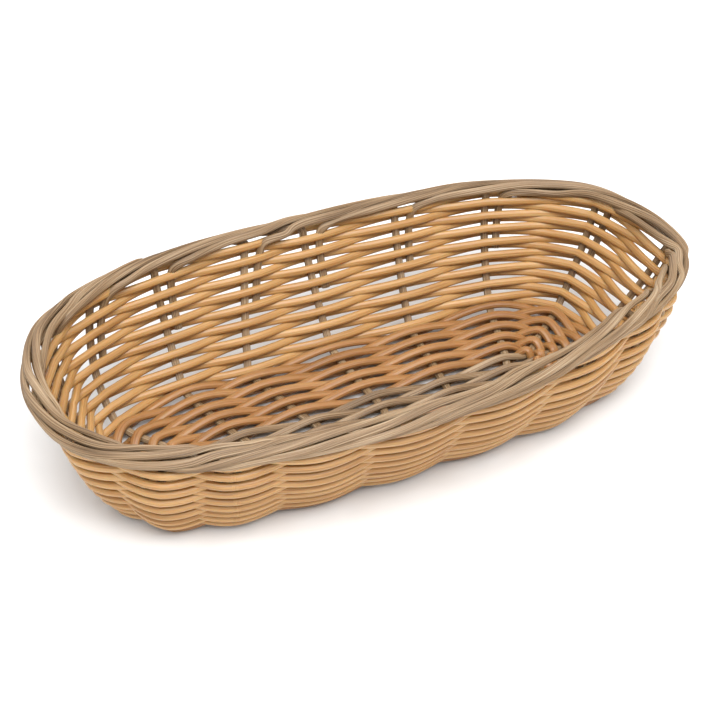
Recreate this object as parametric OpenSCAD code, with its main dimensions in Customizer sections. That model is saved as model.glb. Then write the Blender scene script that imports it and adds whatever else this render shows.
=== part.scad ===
// Oval bread basket woven from round and flat strands.
//
// Flat stakes run across and along the base, turn up at its corner and stand in
// the wall. Round weavers go round them in plain weave: each row passes outside
// every second stake and inside the others, and the next row does the opposite.
// Each stake end is then laid down along the rim, crossed over its neighbours and
// tucked back into the wall five stakes further on. Together the twenty laid
// ends are the border.
//
// The basket rests on z = 0, its long axis is X and its centre is the origin.

/* [Rim] */
// Length over the border
rim_l = 230; // [200:1:260]
// Width over the border
rim_w = 118; // [104:1:140]
// Height of the top of the border
rim_h = 48.6; // [44:0.2:56]
// How far the rim rises and falls out of level
rim_warp = 1.6; // [0:0.1:3]
// How far the wall bellies out half-way up
belly = 2; // [0:0.1:3]

/* [Base] */
// Length of the base at its corner
base_l = 186; // [170:1:200]
// Width of the base at its corner
base_w = 74; // [64:1:84]
// How far the middle of the base lies from the middle of the rim, along the basket
base_x = -1; // [-3:0.5:3]
// How far the core of the base lies from the middle of the rim, across the basket
core_y = -3; // [-4:0.5:4]

/* [Strands] */
// Diameter of a weaver
weaver_d = 2.4; // [1.8:0.1:2.4]
// Width of a stake
stake_w = 2.8; // [2:0.1:3]
// Thickness of a stake
stake_t = 2; // [1.2:0.1:2]

/* [Weave] */
// Rows woven round the base
base_rows = 10; // [6:1:10]
// Rows woven up the wall
wall_rows = 17; // [12:1:17]
// Direction in which a weaver swings in and out of the wall, in degrees below level
swing_lean = 18; // [10:1:30]

/* [Border] */
// Half width of the border, to the middle of a strand
roll_u = 3.2; // [2.6:0.1:3.6]
// Half height of the border, to the middle of a strand
roll_w = 1.7; // [1.5:0.1:2.4]
// How far the border leans out with the wall, in degrees
roll_tilt = 27; // [0:1:40]

/* [Hidden] */
wood = [0.86, 0.67, 0.42];
pale = [0.77, 0.70, 0.58];

crosses = 5;
lengths = 5;
uprights = 2 * (crosses + lengths);

// Middle surface of the weave: flat under the bread, then leaning out up the wall
bulge = stake_t / 2 + weaver_d / 2;
mid_z = bulge + weaver_d / 2;
corner_a = base_l / 2 - bulge - weaver_d / 2 + 0.2;
corner_b = base_w / 2 - bulge - weaver_d / 2 + 0.2;
roll_side = norm([roll_u * cos(roll_tilt), roll_w * sin(roll_tilt)]) + stake_t / 2;
roll_rise = norm([roll_u * sin(roll_tilt), roll_w * cos(roll_tilt)]) + stake_t / 2;
top_a = rim_l / 2 - roll_side;
top_b = rim_w / 2 - roll_side;
top_z = rim_h - roll_rise;
lean = atan2((top_a + top_b - corner_a - corner_b) / 2, top_z - mid_z);
slant = (top_z - mid_z) / cos(lean);
corner_n = 4;
top_n = 2.45;
back_square = 0.18;
skew_square = 0.05;

// Row places: from the core outwards on the base, and up the slant on the wall
core_half = corner_a - corner_b;
core_pitch = 2.9;
base_first = 9.2;
base_pitch = (corner_b - weaver_d / 4 - base_first) / (base_rows - 1);
wall_first = weaver_d - 0.4;
wall_last = slant - roll_w - weaver_d / 2;
wall_pitch = (wall_last - wall_first) / (wall_rows - 1);

// Cross stakes, left to right: x in the middle, at each foot and at each head
cross_mid_x = [-44, -20, 4, 29, 53];
cross_front_foot = [-61, -32.5, -5.5, 24.5, 52];
cross_back_foot = [-55, -31, 1, 32, 64];
cross_front_head = [-66, -41, -10, 23, 59];
cross_back_head = [-57, -22, -1, 35, 70];
// Long stakes: angle of each upright at the core, foot and head, anticlockwise
right_core = [-32, -16, 0, 16, 32];
right_foot = [-41, -27, -13, 0, 33];
right_head = [-42, -30, -19, -8, 29];
left_core = [148, 164, 180, 196, 212];
left_foot = [138.5, 156, 178.5, 201.5, 221];
left_head = [131.5, 148, 175, 202, 223];

CROSS_NODES = [for (i = [1:crosses]) str("cross_stake_", i)];
LONG_NODES = [for (i = [1:lengths]) str("long_stake_", i)];
BASE_NODES = [for (i = [1:base_rows]) str("base_weaver_", i)];
WALL_NODES = [for (i = [1:wall_rows]) str("wall_weaver_", i)];

function mix(a, b, t) = a + (b - a) * t;
function unit(v) = v / norm(v);

// A level is [half length, half width, squareness, height, lean, middle] of one
// closed outline. The wall bellies out, so it leans most at the bottom.
function base_level(d) =
    [core_half + d, d, mix(4.8, corner_n, d / corner_b), mid_z, 90,
     [base_x, core_y * (corner_b - d) / (corner_b - base_first)]];
function wall_level(f) =
    let (b = 4 * belly * f * (1 - f), out = b * cos(lean), down = b * sin(lean))
    [mix(corner_a, top_a, f) + out, mix(corner_b, top_b, f) + out, mix(corner_n, top_n, f),
     mix(mid_z, top_z, f) - down, lean + atan(4 * belly * (1 - 2 * f) / slant),
     [mix(base_x, 0, f), 0]];

// The corners at the back are squarer than those at the front
function squareness(lv, p) = lv[2] * (1 + back_square * sin(p) + skew_square * sin(2 * p));

// Point of an outline at angle p, as shares of the half length and half width
function share(lv, p) =
    let (c = cos(p), s = sin(p), n = squareness(lv, p))
    [c, s] * pow(pow(abs(c), n) + pow(abs(s), n), -1 / n);

// Direction out of the outline at angle p
function out_at(lv, p) =
    let (e = share(lv, p), m = squareness(lv, p) - 1)
    unit([sign(e[0]) * pow(abs(e[0]), m) / lv[0], sign(e[1]) * pow(abs(e[1]), m) / lv[1]]);

// Directions at an outline point: through the weave, and up the slant
function through(o, tilt) = [o[0] * cos(tilt), o[1] * cos(tilt), -sin(tilt)];
function upslope(o, tilt) = [o[0] * sin(tilt), o[1] * sin(tilt), cos(tilt)];

function warp(lv, p) = -rim_warp * sin(2 * p) * pow((lv[3] - mid_z) / (top_z - mid_z), 3);

// Point at angle p on a level, moved out through the weave
function place(lv, p, out = 0) =
    let (e = share(lv, p))
    [lv[5][0] + lv[0] * e[0], lv[5][1] + lv[1] * e[1], lv[3] + warp(lv, p)]
    + out * through(out_at(lv, p), lv[4]);

// Angle at which a level has a given x, on the front (-1) or back (1), found in steps
function angle_at_x(lv, x, side, p = undef, steps = 4) =
    let (u = (x - lv[5][0]) / lv[0], n = squareness(lv, p == undef ? side * 90 : p),
         better = side * atan2(pow(1 - pow(abs(u), n), 1 / n), u))
    steps == 1 ? better : angle_at_x(lv, x, side, better, steps - 1);

// Angle of upright k, anticlockwise from the front left, where f is 0 at the
// corner of the base and 1 at the rim
function ring_angle(lv, k, f) =
    k < 5 ? angle_at_x(lv, mix(cross_front_foot[k], cross_front_head[k], f), -1)
    : k < 10 ? mix(right_foot[k - 5], right_head[k - 5], f)
    : k < 15 ? angle_at_x(lv, mix(cross_back_foot[14 - k], cross_back_head[14 - k], f), 1)
    : mix(left_foot[k - 15], left_head[k - 15], f);

function base_angle(lv, k, g) =
    k < 5 ? angle_at_x(lv, mix(cross_mid_x[k], cross_front_foot[k], g), -1)
    : k < 10 ? mix(right_core[k - 5], right_foot[k - 5], g)
    : k < 15 ? angle_at_x(lv, mix(cross_mid_x[14 - k], cross_back_foot[14 - k], g), 1)
    : mix(left_core[k - 15], left_foot[k - 15], g);

// Angles of all uprights at one level, and at any place t counted in uprights
function base_angles(d) = [for (k = [0:uprights - 1]) base_angle(base_level(d), k, d / corner_b)];
function wall_angles(f) = [for (k = [0:uprights - 1]) ring_angle(wall_level(f), k, f)];
function angle_between(angles, t) =
    let (k = floor(t), a = angles[k % uprights], b = angles[(k + 1) % uprights],
         turn = floor(k / uprights) * 360, gap = ((b - a) % 360 + 360) % 360)
    a + turn + gap * (t - k);

// One cross-section ring: centre, direction across its width, direction through it
function ring(c, across, deep, w, t) =
    [for (s = [[-1, -1], [1, -1], [1, 1], [-1, 1]]) c + across * s[0] * w / 2 + deep * s[1] * t / 2];

// Skin over a list of rings with the same number of points, in triangles
module skin(rings, closed) {
    m = len(rings);
    n = len(rings[0]);
    last = closed ? m - 1 : m - 2;
    walls = [for (i = [0:last], j = [0:n - 1])
        let (here = i * n, next = ((i + 1) % m) * n, k = (j + 1) % n)
        each [[here + j, here + k, next + k], [here + j, next + k, next + j]]];
    ends = closed ? [] : [[for (j = [n - 1:-1:0]) j], [for (j = [0:n - 1]) (m - 1) * n + j]];
    polyhedron([for (r = rings) each r], concat(walls, ends), convexity = 10);
}

// A round weaver: one turn of a level. It is outside every second stake and inside
// the others, and swings in and out at the angle tilt below level. It lies flat over
// the width of a stake, for the share of the way in flat.
module weaver(lv, angles, side, tilt, flat) {
    steps = flat > 0 ? [0, 0.5, 1 - flat] : [0, 0.5];
    rings = [for (k = [0:uprights - 1], t = steps)
        let (p = angle_between(angles, k + (t == 0 ? flat : t)),
             swing = (k % 2 == 0 ? 1 : -1) * side,
             out = t == 0.5 ? 0 : (t == 0 ? swing : -swing) * bulge,
             o = out_at(lv, p))
        ring(place(lv, p) + out * through(o, tilt), upslope(o, lv[4]), through(o, lv[4]),
             weaver_d, weaver_d)];
    color(wood) skin(rings, true);
}

module base_weaver(i) {
    d = base_first + (i - 1) * base_pitch;
    weaver(base_level(d), base_angles(d), i % 2 == 0 ? -1 : 1, 90, 0.07);
}

module wall_weaver(i) {
    f = (wall_first + (i - 1) * wall_pitch) / slant;
    weaver(wall_level(f), wall_angles(f), i % 2 == 0 ? -1 : 1, swing_lean, 0);
}

// The way of a laid end through the border: stakes passed, way out and way up from
// the middle of the border. It starts low, goes round the outside and over the top of
// the ends laid before it, and comes down on the inner side.
border_way = [[0.15, 0.2, -0.5], [0.45, 0.65, -0.6], [0.85, 0.97, -0.3], [1.3, 1, 0.1],
              [1.75, 0.85, 0.55], [2.2, 0.55, 0.88], [2.7, 0.1, 1.02], [3.2, -0.4, 0.9],
              [3.65, -0.8, 0.4], [4.1, -1, -0.35], [4.45, -0.98, -1.1]];

// The stations of a stake are [centre, direction through it]
function flat_station(lv, p) = [place(lv, p), [0, 0, -1]];

// Round the corner of the base, half-way between lying and standing
function corner_station(k) =
    let (f = 0.025, lv = wall_level(f), p = ring_angle(lv, k, f))
    [place(lv, p, -0.4), through(out_at(lv, p), (90 + lv[4]) / 2)];

function wall_station(k, f, shift = 0, out = 0) =
    let (lv = wall_level(f), p = ring_angle(lv, k % uprights, f), o = out_at(lv, p))
    [place(lv, p, out) + shift * [-o[1], o[0], 0], through(o, lv[4])];

function border_station(k, q, aside, above) =
    let (lv = wall_level(1), p = angle_between(wall_angles(1), k + q), o = out_at(lv, p),
         out = aside * roll_u * through(o, roll_tilt), up = above * roll_w * upslope(o, roll_tilt))
    [place(lv, p) + out + up, unit(out + 1.3 * up)];

// The tucked tail lies in the wall just before the stake that it ends at
function tail_station(k, f, shift, out) =
    let (t = wall_station(k + 5, f, shift, out)) [t[0], -t[1]];

function upright_way(k) = concat(
    [for (d = [base_first, 0.55 * corner_b, 0.88 * corner_b])
        flat_station(base_level(d), base_angle(base_level(d), k, d / corner_b))],
    [corner_station(k)],
    [for (f = [0.12, 0.4, 0.66, 0.86, 0.95]) wall_station(k, f)],
    [for (w = border_way) border_station(k, w[0], w[1], w[2])],
    [tail_station(k, 0.92, -6.2, -2.2), tail_station(k, 0.84, -5.4, -0.8),
     tail_station(k, 0.7, -4.8, 0), tail_station(k, 0.47, -4.2, 0)]);

function turned(way) = [for (i = [len(way) - 1:-1:0]) way[i]];

module stake(way) {
    last = len(way) - 1;
    rings = [for (i = [0:last])
        let (ahead = unit(way[min(i + 1, last)][0] - way[max(i - 1, 0)][0]),
             deep = unit(way[i][1] - ahead * (way[i][1] * ahead)))
        ring(way[i][0], cross(deep, ahead), deep, stake_w, stake_t)];
    color(pale) skin(rings, false);
}

// Runs from the front border, under the bread, to the back border
module cross_stake(i) {
    middle = [[cross_mid_x[i - 1], core_y, mid_z], [0, 0, -1]];
    stake(concat(turned(upright_way(i - 1)), [middle], upright_way(15 - i)));
}

// Runs from the left border to the right one, over and under the cross stakes
module long_stake(i) {
    y = core_y + (3 - i) * core_pitch;
    core = [for (j = [0:crosses - 1], half = [0, 1])
        let (x = cross_mid_x[j], next = cross_mid_x[min(j + 1, crosses - 1)],
             rise = ((i + j) % 2 == 0 ? -1 : 1) * stake_t)
        if (half == 0 || j < crosses - 1)
        [[half == 0 ? x : (x + next) / 2, y, mid_z + (half == 0 ? rise : 0)], [0, 0, -1]]];
    stake(concat(turned(upright_way(14 + i)), core, upright_way(10 - i)));
}

for (i = [1:crosses]) {
    cross_stake(i);
}
for (i = [1:lengths]) {
    long_stake(i);
}
for (i = [1:base_rows]) {
    base_weaver(i);
}
for (i = [1:wall_rows]) {
    wall_weaver(i);
}
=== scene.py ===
"""The looks of an oval bread basket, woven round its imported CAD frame.

Every CAD node is one strand, and each is replaced here by a finely made strand of
the same name that takes the same way through the weave. The basket is worked out
in millimetres and becomes metres when a mesh is made. Uprights are numbered
anticlockwise from the front left; a place t along a row is counted in uprights.
"""
import math
from collections import namedtuple

import bpy
import numpy as np
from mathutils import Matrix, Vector


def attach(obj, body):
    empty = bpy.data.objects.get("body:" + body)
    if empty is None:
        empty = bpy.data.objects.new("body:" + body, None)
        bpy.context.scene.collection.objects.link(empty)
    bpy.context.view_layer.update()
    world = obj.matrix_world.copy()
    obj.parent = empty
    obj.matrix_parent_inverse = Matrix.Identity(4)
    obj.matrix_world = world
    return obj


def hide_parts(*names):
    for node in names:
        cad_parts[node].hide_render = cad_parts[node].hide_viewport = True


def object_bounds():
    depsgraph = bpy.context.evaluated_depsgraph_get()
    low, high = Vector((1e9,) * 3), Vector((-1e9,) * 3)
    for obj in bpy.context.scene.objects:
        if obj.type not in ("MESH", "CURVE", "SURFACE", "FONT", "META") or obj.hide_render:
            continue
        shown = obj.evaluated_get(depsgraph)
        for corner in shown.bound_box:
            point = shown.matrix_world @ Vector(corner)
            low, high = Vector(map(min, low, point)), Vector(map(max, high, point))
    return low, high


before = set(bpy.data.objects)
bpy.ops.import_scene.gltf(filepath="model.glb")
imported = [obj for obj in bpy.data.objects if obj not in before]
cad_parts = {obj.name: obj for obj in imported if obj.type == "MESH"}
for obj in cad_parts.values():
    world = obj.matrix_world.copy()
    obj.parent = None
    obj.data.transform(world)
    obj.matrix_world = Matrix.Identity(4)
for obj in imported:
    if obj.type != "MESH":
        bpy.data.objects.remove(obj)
CAD_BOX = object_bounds()
MM = 0.001

# ------------------------------------------------------------------ sizes, from the frame
CROSSES = sum(name.startswith("cross_stake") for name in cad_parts)
LENGTHS = sum(name.startswith("long_stake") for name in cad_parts)
BASE_ROWS = sum(name.startswith("base_weaver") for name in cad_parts)
WALL_ROWS = sum(name.startswith("wall_weaver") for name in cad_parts)
UPRIGHTS = 2 * (CROSSES + LENGTHS)

# Strands: thickness and width of a weaver, width and thickness of a stake, and how
# far the middle of a weaver lies from the middle of a stake where it passes it
WEAVER_D = 2.4
WEAVER_W = 2.85
BASE_WEAVER_W = 3.2
STAKE_W = 2.8
STAKE_T = 2.0
BULGE = STAKE_T / 2 + WEAVER_D / 2

# The border: half width and half height to the middle of a strand, and its lean
ROLL_U = 3.2
ROLL_W = 1.7
ROLL_TILT = math.radians(27)
ROLL_SIDE = math.hypot(ROLL_U * math.cos(ROLL_TILT), ROLL_W * math.sin(ROLL_TILT)) + STAKE_T / 2

# Middle surface of the weave: half length (A), half width (B), height (Z) and
# squareness (N) at the core, at the corner of the base and at the rim
rim_length, rim_width = [(CAD_BOX[1][i] - CAD_BOX[0][i]) / MM for i in (0, 1)]
MID_Z = BULGE + WEAVER_D / 2
TOP_A = rim_length / 2 - ROLL_SIDE
TOP_B = rim_width / 2 - ROLL_SIDE
TOP_Z = 45.5
TOP_N = 2.45
CORNER_A = 89.8
CORNER_B = 33.8
CORNER_N = 4.0
CORE_N = 4.8
LEAN = math.atan2((TOP_A + TOP_B - CORNER_A - CORNER_B) / 2, TOP_Z - MID_Z)
FLAT = math.pi / 2
SLANT = (TOP_Z - MID_Z) / math.cos(LEAN)
# How far the wall bellies out, the rim leaves level, and the base and core are off centre
BELLY = 2.0
RIM_WARP = 1.6
BASE_X = -1.0
CORE_Y = -3.0
# How much squarer the back is than the middle, and one diagonal than the other
BACK_SQUARE = 0.18
SKEW_SQUARE = 0.05

# Row places: from the core outwards on the base, and up the slant on the wall
CORE_HALF = CORNER_A - CORNER_B
CORE_PITCH = 2.9
BASE_FIRST = 9.2
BASE_LAST = CORNER_B - WEAVER_D / 4
BASE_PITCH = (BASE_LAST - BASE_FIRST) / (BASE_ROWS - 1)
WALL_FIRST = 2.0
WALL_LAST = SLANT - ROLL_W - WEAVER_D / 2
WALL_PITCH = (WALL_LAST - WALL_FIRST) / (WALL_ROWS - 1)

# Cross stakes, left to right: x in the middle, at each foot and at each head
CROSS_MID = [-44, -20, 4, 29, 53]
FRONT_FOOT = [-61, -32.5, -5.5, 24.5, 52]
BACK_FOOT = [-55, -31, 1, 32, 64]
FRONT_HEAD = [-66, -41, -10, 23, 59]
BACK_HEAD = [-57, -22, -1, 35, 70]
# Long stakes: degrees of each upright at the core, foot and head, anticlockwise
RIGHT_CORE = [-32, -16, 0, 16, 32]
RIGHT_FOOT = [-41, -27, -13, 0, 33]
RIGHT_HEAD = [-42, -30, -19, -8, 29]
LEFT_CORE = [148, 164, 180, 196, 212]
LEFT_FOOT = [138.5, 156, 178.5, 201.5, 221]
LEFT_HEAD = [131.5, 148, 175, 202, 223]

# ------------------------------------------------------------------ the shape of the weave
# A level is one closed outline: its centre, half length, half width, squareness, height,
# and the lean of the weave there, from 0 for upright to FLAT
Level = namedtuple("Level", "x y a b n z lean")


def mix(a, b, t):
    return a + (b - a) * t


def unit(v):
    return v / np.linalg.norm(v, axis=-1, keepdims=True)


def base_level(d):
    """The outline that lies d out from the middle line of the base. The core lies
    nearer the front than the middle of the base does."""
    forward = CORE_Y * (CORNER_B - d) / (CORNER_B - BASE_FIRST)
    return Level(BASE_X, forward, CORE_HALF + d, d, mix(CORE_N, CORNER_N, d / CORNER_B), MID_Z, FLAT)


def wall_level(f):
    """The outline a share f of the way from the corner of the base to the rim.
    The wall bellies out, so it leans most at the bottom."""
    belly = 4 * BELLY * f * (1 - f)
    outwards, down = belly * math.cos(LEAN), belly * math.sin(LEAN)
    return Level(mix(BASE_X, 0, f), 0,
                 mix(CORNER_A, TOP_A, f) + outwards, mix(CORNER_B, TOP_B, f) + outwards,
                 mix(CORNER_N, TOP_N, f), mix(MID_Z, TOP_Z, f) - down,
                 LEAN + math.atan(4 * BELLY * (1 - 2 * f) / SLANT))


def squareness(level, p):
    """The corners at the back are squarer than those at the front."""
    return level.n * (1 + BACK_SQUARE * np.sin(p) + SKEW_SQUARE * np.sin(2 * p))


def outline(level, p):
    """Points at the angles p on a level, and the outward direction at each."""
    c, s, n = np.cos(p), np.sin(p), squareness(level, p)
    k = (np.abs(c) ** n + np.abs(s) ** n) ** (-1 / n)
    x, y = c * k, s * k
    warp = -RIM_WARP * np.sin(2 * p) * ((level.z - MID_Z) / (TOP_Z - MID_Z)) ** 3
    out = np.stack([np.sign(x) * np.abs(x) ** (n - 1) / level.a,
                    np.sign(y) * np.abs(y) ** (n - 1) / level.b, 0 * x], -1)
    return np.stack([level.x + level.a * x, level.y + level.b * y, level.z + warp], -1), unit(out)


def through(out, tilt):
    """Direction square through a weave that leans by tilt."""
    return out * math.cos(tilt) - np.array([0, 0, math.sin(tilt)])


def upslope(out, tilt):
    """Direction up a weave that leans by tilt."""
    return out * math.sin(tilt) + np.array([0, 0, math.cos(tilt)])


def along(out):
    """Anticlockwise round an outline."""
    return np.stack([-out[..., 1], out[..., 0], 0 * out[..., 0]], -1)


def angle_at_x(level, x, side):
    """Angle at which a level has a given x, on the front (-1) or back (1)."""
    u = (x - level.x) / level.a
    p = side * math.pi / 2
    settling_steps = 4
    for _ in range(settling_steps):
        n = squareness(level, p)
        p = side * math.atan2((1 - abs(u) ** n) ** (1 / n), u)
    return p


def upright_angles(level, starts, ends, share):
    """Angle of every upright on a level, a share of the way between two sets of places."""
    front, right, back, left = [[mix(a, b, share) for a, b in zip(start, end)]
                                for start, end in zip(starts, ends)]
    angles = ([angle_at_x(level, x, -1) for x in front] + [math.radians(a) for a in right]
              + [angle_at_x(level, x, 1) for x in reversed(back)] + [math.radians(a) for a in left])
    return np.unwrap(angles)


def base_angles(d):
    return upright_angles(base_level(d), (CROSS_MID, RIGHT_CORE, CROSS_MID, LEFT_CORE),
                          (FRONT_FOOT, RIGHT_FOOT, BACK_FOOT, LEFT_FOOT), d / CORNER_B)


def wall_angles(f):
    return upright_angles(wall_level(f), (FRONT_FOOT, RIGHT_FOOT, BACK_FOOT, LEFT_FOOT),
                          (FRONT_HEAD, RIGHT_HEAD, BACK_HEAD, LEFT_HEAD), f)


# ------------------------------------------------------------------ smooth curves
def spline(knots, values, t):
    """A smooth curve through values at rising knots, read at t."""
    knots, values = np.asarray(knots, float), np.asarray(values, float)
    shape = (-1,) + (1,) * (values.ndim - 1)
    gap = np.diff(knots).reshape(shape)
    slope = np.diff(values, axis=0) / gap
    middle = (gap[1:] * slope[:-1] + gap[:-1] * slope[1:]) / (gap[1:] + gap[:-1])
    tangent = np.concatenate([slope[:1], middle, slope[-1:]])
    i = np.clip(np.searchsorted(knots, t, side="right") - 1, 0, len(knots) - 2)
    h, u = gap[i], ((t - knots[i]) / np.diff(knots)[i]).reshape(shape)
    return (values[i] * (1 + 2 * u) * (1 - u) ** 2 + values[i + 1] * u * u * (3 - 2 * u)
            + h * tangent[i] * u * (1 - u) ** 2 - h * tangent[i + 1] * u * u * (1 - u))


def round_the_rim(angles, t):
    """Angle at any place t, counted in uprights, smooth all the way round."""
    extra = 3
    k = np.arange(-extra, UPRIGHTS + extra)
    closed = angles[k % UPRIGHTS] + 2 * math.pi * (k // UPRIGHTS)
    lap = np.floor(t / UPRIGHTS)
    return spline(k, closed, t - lap * UPRIGHTS) + 2 * math.pi * lap


# A station is (centre, direction through the strand), and a route is many of them
def smooth_route(stations, spacing):
    """Puts a smooth route through a short list of stations."""
    stations = np.array(stations, float)
    steps = np.linalg.norm(np.diff(stations[:, 0], axis=0), axis=1)
    place = np.concatenate([[0], np.cumsum(steps)])
    knots = np.concatenate([[0], np.cumsum(steps ** 0.75)])
    t = np.interp(np.linspace(0, place[-1], int(place[-1] / spacing)), place, knots)
    centre, deep = np.moveaxis(spline(knots, stations, t), 1, 0)
    return centre, deep


# ------------------------------------------------------------------ meshes
# How far along the grain each strand starts from the one before it
OWN_GRAIN = 400.0


def strand(name, route, profile, closed, replaced, material):
    """Sweeps a profile along a route, as one piece that stands for its CAD node.

    The attribute straight holds where each point would be, in millimetres, if the
    strand were pulled straight, so that grain runs along it."""
    centre, deep = route
    if closed:
        ahead = unit(np.roll(centre, -1, 0) - np.roll(centre, 1, 0))
    else:
        ahead = unit(np.gradient(centre, axis=0))
    deep = unit(deep - ahead * (deep * ahead).sum(1, keepdims=True))
    across = np.cross(deep, ahead)
    rings, sides = len(centre), len(profile)
    points = (centre[:, None] + across[:, None] * profile[:, 0, None]
              + deep[:, None] * profile[:, 1, None]).reshape(-1, 3)
    ring, side = np.meshgrid(np.arange(rings if closed else rings - 1), np.arange(sides), indexing="ij")
    following, beside = (ring + 1) % rings, (side + 1) % sides
    faces = np.stack([ring * sides + side, ring * sides + beside,
                      following * sides + beside, following * sides + side], -1).reshape(-1, 4).tolist()
    if not closed:
        faces.append(list(range(sides))[::-1])
        faces.append(list(range((rings - 1) * sides, rings * sides)))
    mesh = bpy.data.meshes.new(name)
    mesh.from_pydata((points * MM).tolist(), [], faces)
    mesh.shade_smooth()
    step = np.linalg.norm(np.diff(centre, axis=0), axis=1)
    length = np.concatenate([[0], np.cumsum(step)])
    pulled = np.zeros((rings, sides, 3))
    pulled[:, :, :2] = profile
    pulled[:, :, 2] = length[:, None] + OWN_GRAIN * len(bpy.data.meshes)
    straight = mesh.attributes.new("straight", "FLOAT_VECTOR", "POINT")
    straight.data.foreach_set("vector", pulled.reshape(-1))
    mesh.materials.append(material)
    piece = bpy.data.objects.new(name, mesh)
    bpy.context.scene.collection.objects.link(piece)
    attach(piece, "root")
    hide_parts(replaced)
    return piece


def ribbed_profile(width, thickness, ribs, depth, n):
    """An oval of squareness n with fine ribs of a depth round it."""
    points_per_rib = 4
    a = np.arange(ribs * points_per_rib) * 2 * math.pi / (ribs * points_per_rib)
    c, s = np.cos(a), np.sin(a)
    k = (np.abs(c) ** n + np.abs(s) ** n) ** (-1 / n)
    shrink = 1 - depth * (1 - np.cos(a * ribs)) / 2 / (thickness / 2)
    return np.stack([c * k * width / 2 * shrink, s * k * thickness / 2 * shrink], 1)


# ------------------------------------------------------------------ materials
class Nodes:
    """A short way to write a material's node tree."""

    def __init__(self, name):
        self.material = bpy.data.materials.new(name)
        self.material.use_nodes = True
        self.tree = self.material.node_tree
        self.tree.nodes.clear()

    def add(self, kind, inputs=None, **settings):
        node = self.tree.nodes.new("ShaderNode" + kind)
        for key, value in settings.items():
            setattr(node, key, value)
        for key, value in (inputs or {}).items():
            if isinstance(value, bpy.types.NodeSocket):
                self.tree.links.new(value, node.inputs[key])
            else:
                node.inputs[key].default_value = value
        return node

    def stretched_noise(self, straight, size, stretch, detail=2.0):
        """Noise with grains of a size in millimetres, drawn out along the strand."""
        per_mm = (1 / size, 1 / size, 1 / (size * stretch))
        scaled = self.add("VectorMath", {0: straight, 1: per_mm}, operation="MULTIPLY").outputs[0]
        return self.add("TexNoise", {"Vector": scaled, "Scale": 1.0, "Detail": detail}).outputs["Fac"]

    def ramp(self, value, stops):
        node = self.add("ValToRGB", {"Fac": value})
        elements = node.color_ramp.elements
        while len(elements) < len(stops):
            elements.new(0.5)
        for element, (place, colour) in zip(elements, stops):
            element.position = place
            element.color = (*colour, 1)
        return node.outputs["Color"]


def plastic_strand(name, dark, middle, light, roughness, glow):
    """Extruded rattan-look plastic: streaks along the strand, and slow changes of tone.
    Roughness runs between two values with the streaks, and glow is how far light soaks in."""
    streak_size, streak_stretch, streak_share = 0.4, 60, 0.55
    tone_size, tone_stretch = 6.0, 8
    m = Nodes(name)
    straight = m.add("Attribute", attribute_name="straight").outputs["Vector"]
    fibre = m.stretched_noise(straight, streak_size, streak_stretch)
    tone = m.stretched_noise(straight, tone_size, tone_stretch)
    mixed = m.add("Math", {0: fibre, 1: streak_share}, operation="MULTIPLY").outputs[0]
    mixed = m.add("Math", {0: tone, 1: 1 - streak_share, 2: mixed}, operation="MULTIPLY_ADD").outputs[0]
    colour = m.ramp(mixed, [(0.3, dark), (0.5, middle), (0.7, light)])
    rough = m.add("MapRange", {"Value": fibre, "From Min": 0.3, "From Max": 0.7,
                               "To Min": roughness[0], "To Max": roughness[1]}).outputs["Result"]
    bump = m.add("Bump", {"Height": fibre, "Strength": 0.5, "Distance": 0.00012}).outputs["Normal"]
    shader = m.add("BsdfPrincipled", {
        "Base Color": colour, "Roughness": rough, "Normal": bump, "IOR": 1.48,
        "Subsurface Weight": glow, "Subsurface Radius": (1.0, 0.6, 0.35), "Subsurface Scale": 0.0015})
    m.add("OutputMaterial", {"Surface": shader.outputs["BSDF"]})
    return m.material


WEAVER_LOOK = plastic_strand("golden_strand", dark=(0.31, 0.15, 0.048), middle=(0.45, 0.255, 0.092),
                             light=(0.55, 0.35, 0.16), roughness=(0.32, 0.48), glow=0.8)
# The base weavers are the same strand as the wall weavers; this darker, browner copy of it is painted
# shade for the sunken base.
SHADED_BASE_LOOK = plastic_strand("base_strand_painted_shade", dark=(0.20, 0.088, 0.025), middle=(0.33, 0.162, 0.056),
                           light=(0.42, 0.235, 0.098), roughness=(0.32, 0.48), glow=0.8)
STAKE_LOOK = plastic_strand("pale_strand", dark=(0.065, 0.034, 0.014), middle=(0.245, 0.155, 0.08),
                            light=(0.46, 0.345, 0.225), roughness=(0.38, 0.55), glow=0.15)

# ------------------------------------------------------------------ weavers
# Points of a row between two uprights, and how far a row pulls straight between them
STEPS = 12
TAUT = 0.35
# Direction in which a weaver swings in and out of the wall, below level
SWING_LEAN = math.radians(18)
# Spread of each slow wave by which a row strays from its place
STRAY = 0.06


def weaver_route(level, angles, side, seed, swing_lean):
    """One turn of a level: outside at every second upright and inside at the others.
    Between two uprights the strand pulls straight, so a turn is part outline, part polygon."""
    random = np.random.default_rng(seed)
    t = np.arange(UPRIGHTS * STEPS) / STEPS
    wave = sum(random.normal(0, STRAY, 2)[:, None]
               * np.sin(2 * math.pi * h * t / UPRIGHTS + random.uniform(0, 2 * math.pi, 2)[:, None])
               for h in (2, 3, 5, 7))
    point, out = outline(level, round_the_rim(angles, t))
    corners = np.vstack([outline(level, angles)[0], outline(level, angles[:1])[0]])
    chord = np.stack([np.interp(t, np.arange(UPRIGHTS + 1), corners[:, i]) for i in range(3)], -1)
    deep = through(out, level.lean)
    swing = np.clip(BULGE * side * np.cos(math.pi * t) + wave[0], -BULGE, BULGE)
    centre = (mix(point, chord, TAUT) + through(out, swing_lean) * swing[:, None]
              + upslope(out, level.lean) * wave[1][:, None])
    return centre, deep


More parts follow.
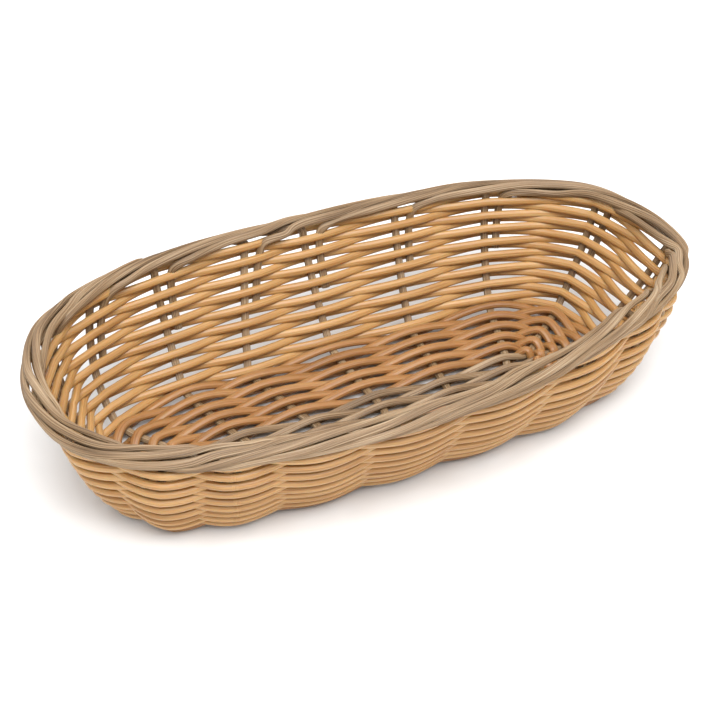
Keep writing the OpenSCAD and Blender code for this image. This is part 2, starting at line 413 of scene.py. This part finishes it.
def make_weavers():
    profile = ribbed_profile(BASE_WEAVER_W, WEAVER_D, ribs=10, depth=0.07, n=2.3)
    for row in range(BASE_ROWS):
        name, d = f"base_weaver_{row + 1}", BASE_FIRST + row * BASE_PITCH
        route = weaver_route(base_level(d), base_angles(d), -1 if row % 2 else 1, 100 + row, FLAT)
        # Painted shade: the base weavers take the darker, browner copy of the golden strand.
        strand(name + "_strand", route, profile, True, name, SHADED_BASE_LOOK)
    profile = ribbed_profile(WEAVER_W, WEAVER_D, ribs=9, depth=0.07, n=2.3)
    for row in range(WALL_ROWS):
        name, f = f"wall_weaver_{row + 1}", (WALL_FIRST + row * WALL_PITCH) / SLANT
        route = weaver_route(wall_level(f), wall_angles(f), -1 if row % 2 else 1, 200 + row, SWING_LEAN)
        strand(name + "_strand", route, profile, True, name, WEAVER_LOOK)


# ------------------------------------------------------------------ stakes
DOWN = np.array([0.0, 0.0, -1.0])

# The way of a laid end through the border: uprights passed, way out and way up from
# the middle of the border. It starts low, goes round the outside and over the top of
# the ends laid before it, and comes down on the inner side.
BORDER_WAY = [
    (0.15, 0.2, -0.5), (0.45, 0.65, -0.6), (0.85, 0.97, -0.3), (1.3, 1.0, 0.1), (1.75, 0.85, 0.55),
    (2.2, 0.55, 0.88), (2.7, 0.1, 1.02), (3.2, -0.4, 0.9), (3.65, -0.8, 0.4), (4.1, -1.0, -0.35),
    (4.45, -0.98, -1.1)]
# Spread of each of these three numbers from strand to strand
LOOSE = 0.1
# Where a stake is held on its way: distances out on the base, a share just past the
# corner and how far in it cuts it, and shares up the wall
LYING = (BASE_FIRST, 0.55 * CORNER_B, 0.88 * CORNER_B)
CORNER_SHARE, CORNER_CUT = 0.025, 0.4
STANDING = (0.12, 0.4, 0.66, 0.86, 0.95)
# A tucked tail: share up the wall, shift along it and shift out through it
TUCKED = [(0.92, -6.2, -2.2), (0.84, -5.4, -0.8), (0.7, -4.8, 0), (0.47, -4.2, 0)]
UPRIGHTS_PASSED = 5


def flat_station(k, d):
    return outline(base_level(d), base_angles(d)[k])[0], DOWN


def corner_station(k):
    """Round the corner of the base, half-way between lying and standing."""
    level = wall_level(CORNER_SHARE)
    point, out = outline(level, wall_angles(CORNER_SHARE)[k])
    return point - CORNER_CUT * through(out, level.lean), through(out, (FLAT + level.lean) / 2)


def wall_station(k, f, shift=0.0, outside=0.0):
    """Beside upright k, a share f up the wall."""
    level = wall_level(f)
    point, out = outline(level, wall_angles(f)[k % UPRIGHTS])
    deep = through(out, level.lean)
    return point + shift * along(out) + outside * deep, deep


def border_station(k, q, aside, above):
    """In the border, q uprights past upright k. The strand turns its flat side outwards,
    and a little more upwards than the oval of the border does."""
    point, out = outline(wall_level(1), round_the_rim(wall_angles(1), np.array([k + q], float))[0])
    sideways = aside * ROLL_U * through(out, ROLL_TILT)
    upwards = above * ROLL_W * upslope(out, ROLL_TILT)
    upward_turn = 1.3
    return point + sideways + upwards, unit(sideways + upward_turn * upwards)


def upright_stations(k):
    """One half of a stake, from the core of the base to the tip of its tail."""
    lying = [flat_station(k, d) for d in LYING]
    standing = [wall_station(k, f) for f in STANDING]
    random = np.random.default_rng(300 + k)
    laid = [border_station(k, *(place + random.normal(0, LOOSE, 3))) for place in np.array(BORDER_WAY)]
    tucked = [wall_station(k + UPRIGHTS_PASSED, *place) for place in TUCKED]
    tucked = [(centre, -deep) for centre, deep in tucked]
    return lying + [corner_station(k)] + standing + laid + tucked


def make_stakes():
    profile = ribbed_profile(STAKE_W, STAKE_T, ribs=12, depth=0.26, n=2.6)
    spacing = 1.0
    for i in range(CROSSES):
        middle = (np.array([CROSS_MID[i], CORE_Y, MID_Z]), DOWN)
        stations = upright_stations(i)[::-1] + [middle] + upright_stations(14 - i)
        name = f"cross_stake_{i + 1}"
        strand(name + "_strand", smooth_route(stations, spacing), profile, False, name, STAKE_LOOK)
    for i in range(LENGTHS):
        y = CORE_Y + (2 - i) * CORE_PITCH
        core = []
        for j, x in enumerate(CROSS_MID):
            rise = STAKE_T if (i + j) % 2 == 0 else -STAKE_T
            core.append((np.array([x, y, MID_Z + rise]), DOWN))
            if j + 1 < CROSSES:
                core.append((np.array([(x + CROSS_MID[j + 1]) / 2, y, MID_Z]), DOWN))
        stations = upright_stations(15 + i)[::-1] + core + upright_stations(9 - i)
        name = f"long_stake_{i + 1}"
        strand(name + "_strand", smooth_route(stations, spacing), profile, False, name, STAKE_LOOK)


make_weavers()
make_stakes()


# ------------------------------------------------------------------ floor, light and camera
def make_floor():
    m = Nodes("pale_floor")
    where = m.add("TexCoord").outputs["Object"]
    grain = m.add("TexNoise", {"Vector": where, "Scale": 40.0, "Detail": 3.0}).outputs["Fac"]
    colour = m.ramp(grain, [(0.3, (0.76, 0.76, 0.76)), (0.7, (0.79, 0.79, 0.79))])
    shader = m.add("BsdfPrincipled", {"Base Color": colour, "Roughness": 0.8})
    m.add("OutputMaterial", {"Surface": shader.outputs["BSDF"]})
    mesh = bpy.data.meshes.new("floor")
    half = 6.0
    corners = [(-half, -half, 0), (half, -half, 0), (half, half, 0), (-half, half, 0)]
    mesh.from_pydata(corners, [], [(0, 1, 2, 3)])
    mesh.materials.append(m.material)
    floor = bpy.data.objects.new("floor", mesh)
    bpy.context.scene.collection.objects.link(floor)


def area_light(name, place, target, size, power):
    data = bpy.data.lights.new(name, "AREA")
    data.shape = "RECTANGLE"
    data.size, data.size_y = size
    data.energy = power
    light = bpy.data.objects.new(name, data)
    light.location = place
    light.rotation_mode = "QUATERNION"
    light.rotation_quaternion = (Vector(target) - Vector(place)).to_track_quat("-Z", "Y")
    bpy.context.scene.collection.objects.link(light)


def make_studio():
    world = bpy.data.worlds.new("studio")
    bpy.context.scene.world = world
    world.use_nodes = True
    sky = world.node_tree.nodes["Background"].inputs
    sky["Color"].default_value = (1, 1, 1, 1)
    sky["Strength"].default_value = 0.85
    area_light("front", place=(-0.1, -0.55, 1.15), target=(0, 0, 0.02), size=(1.0, 0.7), power=21)
    area_light("behind", place=(0.2, 0.8, 0.9), target=(0, 0.1, 0), size=(1.2, 0.7), power=3)
    bpy.context.scene.view_settings.view_transform = "Standard"


def make_camera():
    """Looks down at the basket from the front, a little to its left."""
    azimuth, elevation, distance = -0.429, 0.675, 0.5792
    right_of_centre, above_centre = -4.25, 19.94
    back = Vector((math.sin(azimuth) * math.cos(elevation), -math.cos(azimuth) * math.cos(elevation),
                   math.sin(elevation)))
    turn = back.to_track_quat("Z", "Y")
    aim = turn @ Vector((right_of_centre, above_centre, 0)) * MM
    data = bpy.data.cameras.new("camera")
    data.lens = 84.9
    data.clip_start, data.clip_end = 0.01, 50
    camera = bpy.data.objects.new("camera", data)
    camera.rotation_mode = "QUATERNION"
    camera.rotation_quaternion = turn
    camera.location = aim + back * distance
    bpy.context.scene.collection.objects.link(camera)
    bpy.context.scene.camera = camera


make_floor()
make_studio()
make_camera()
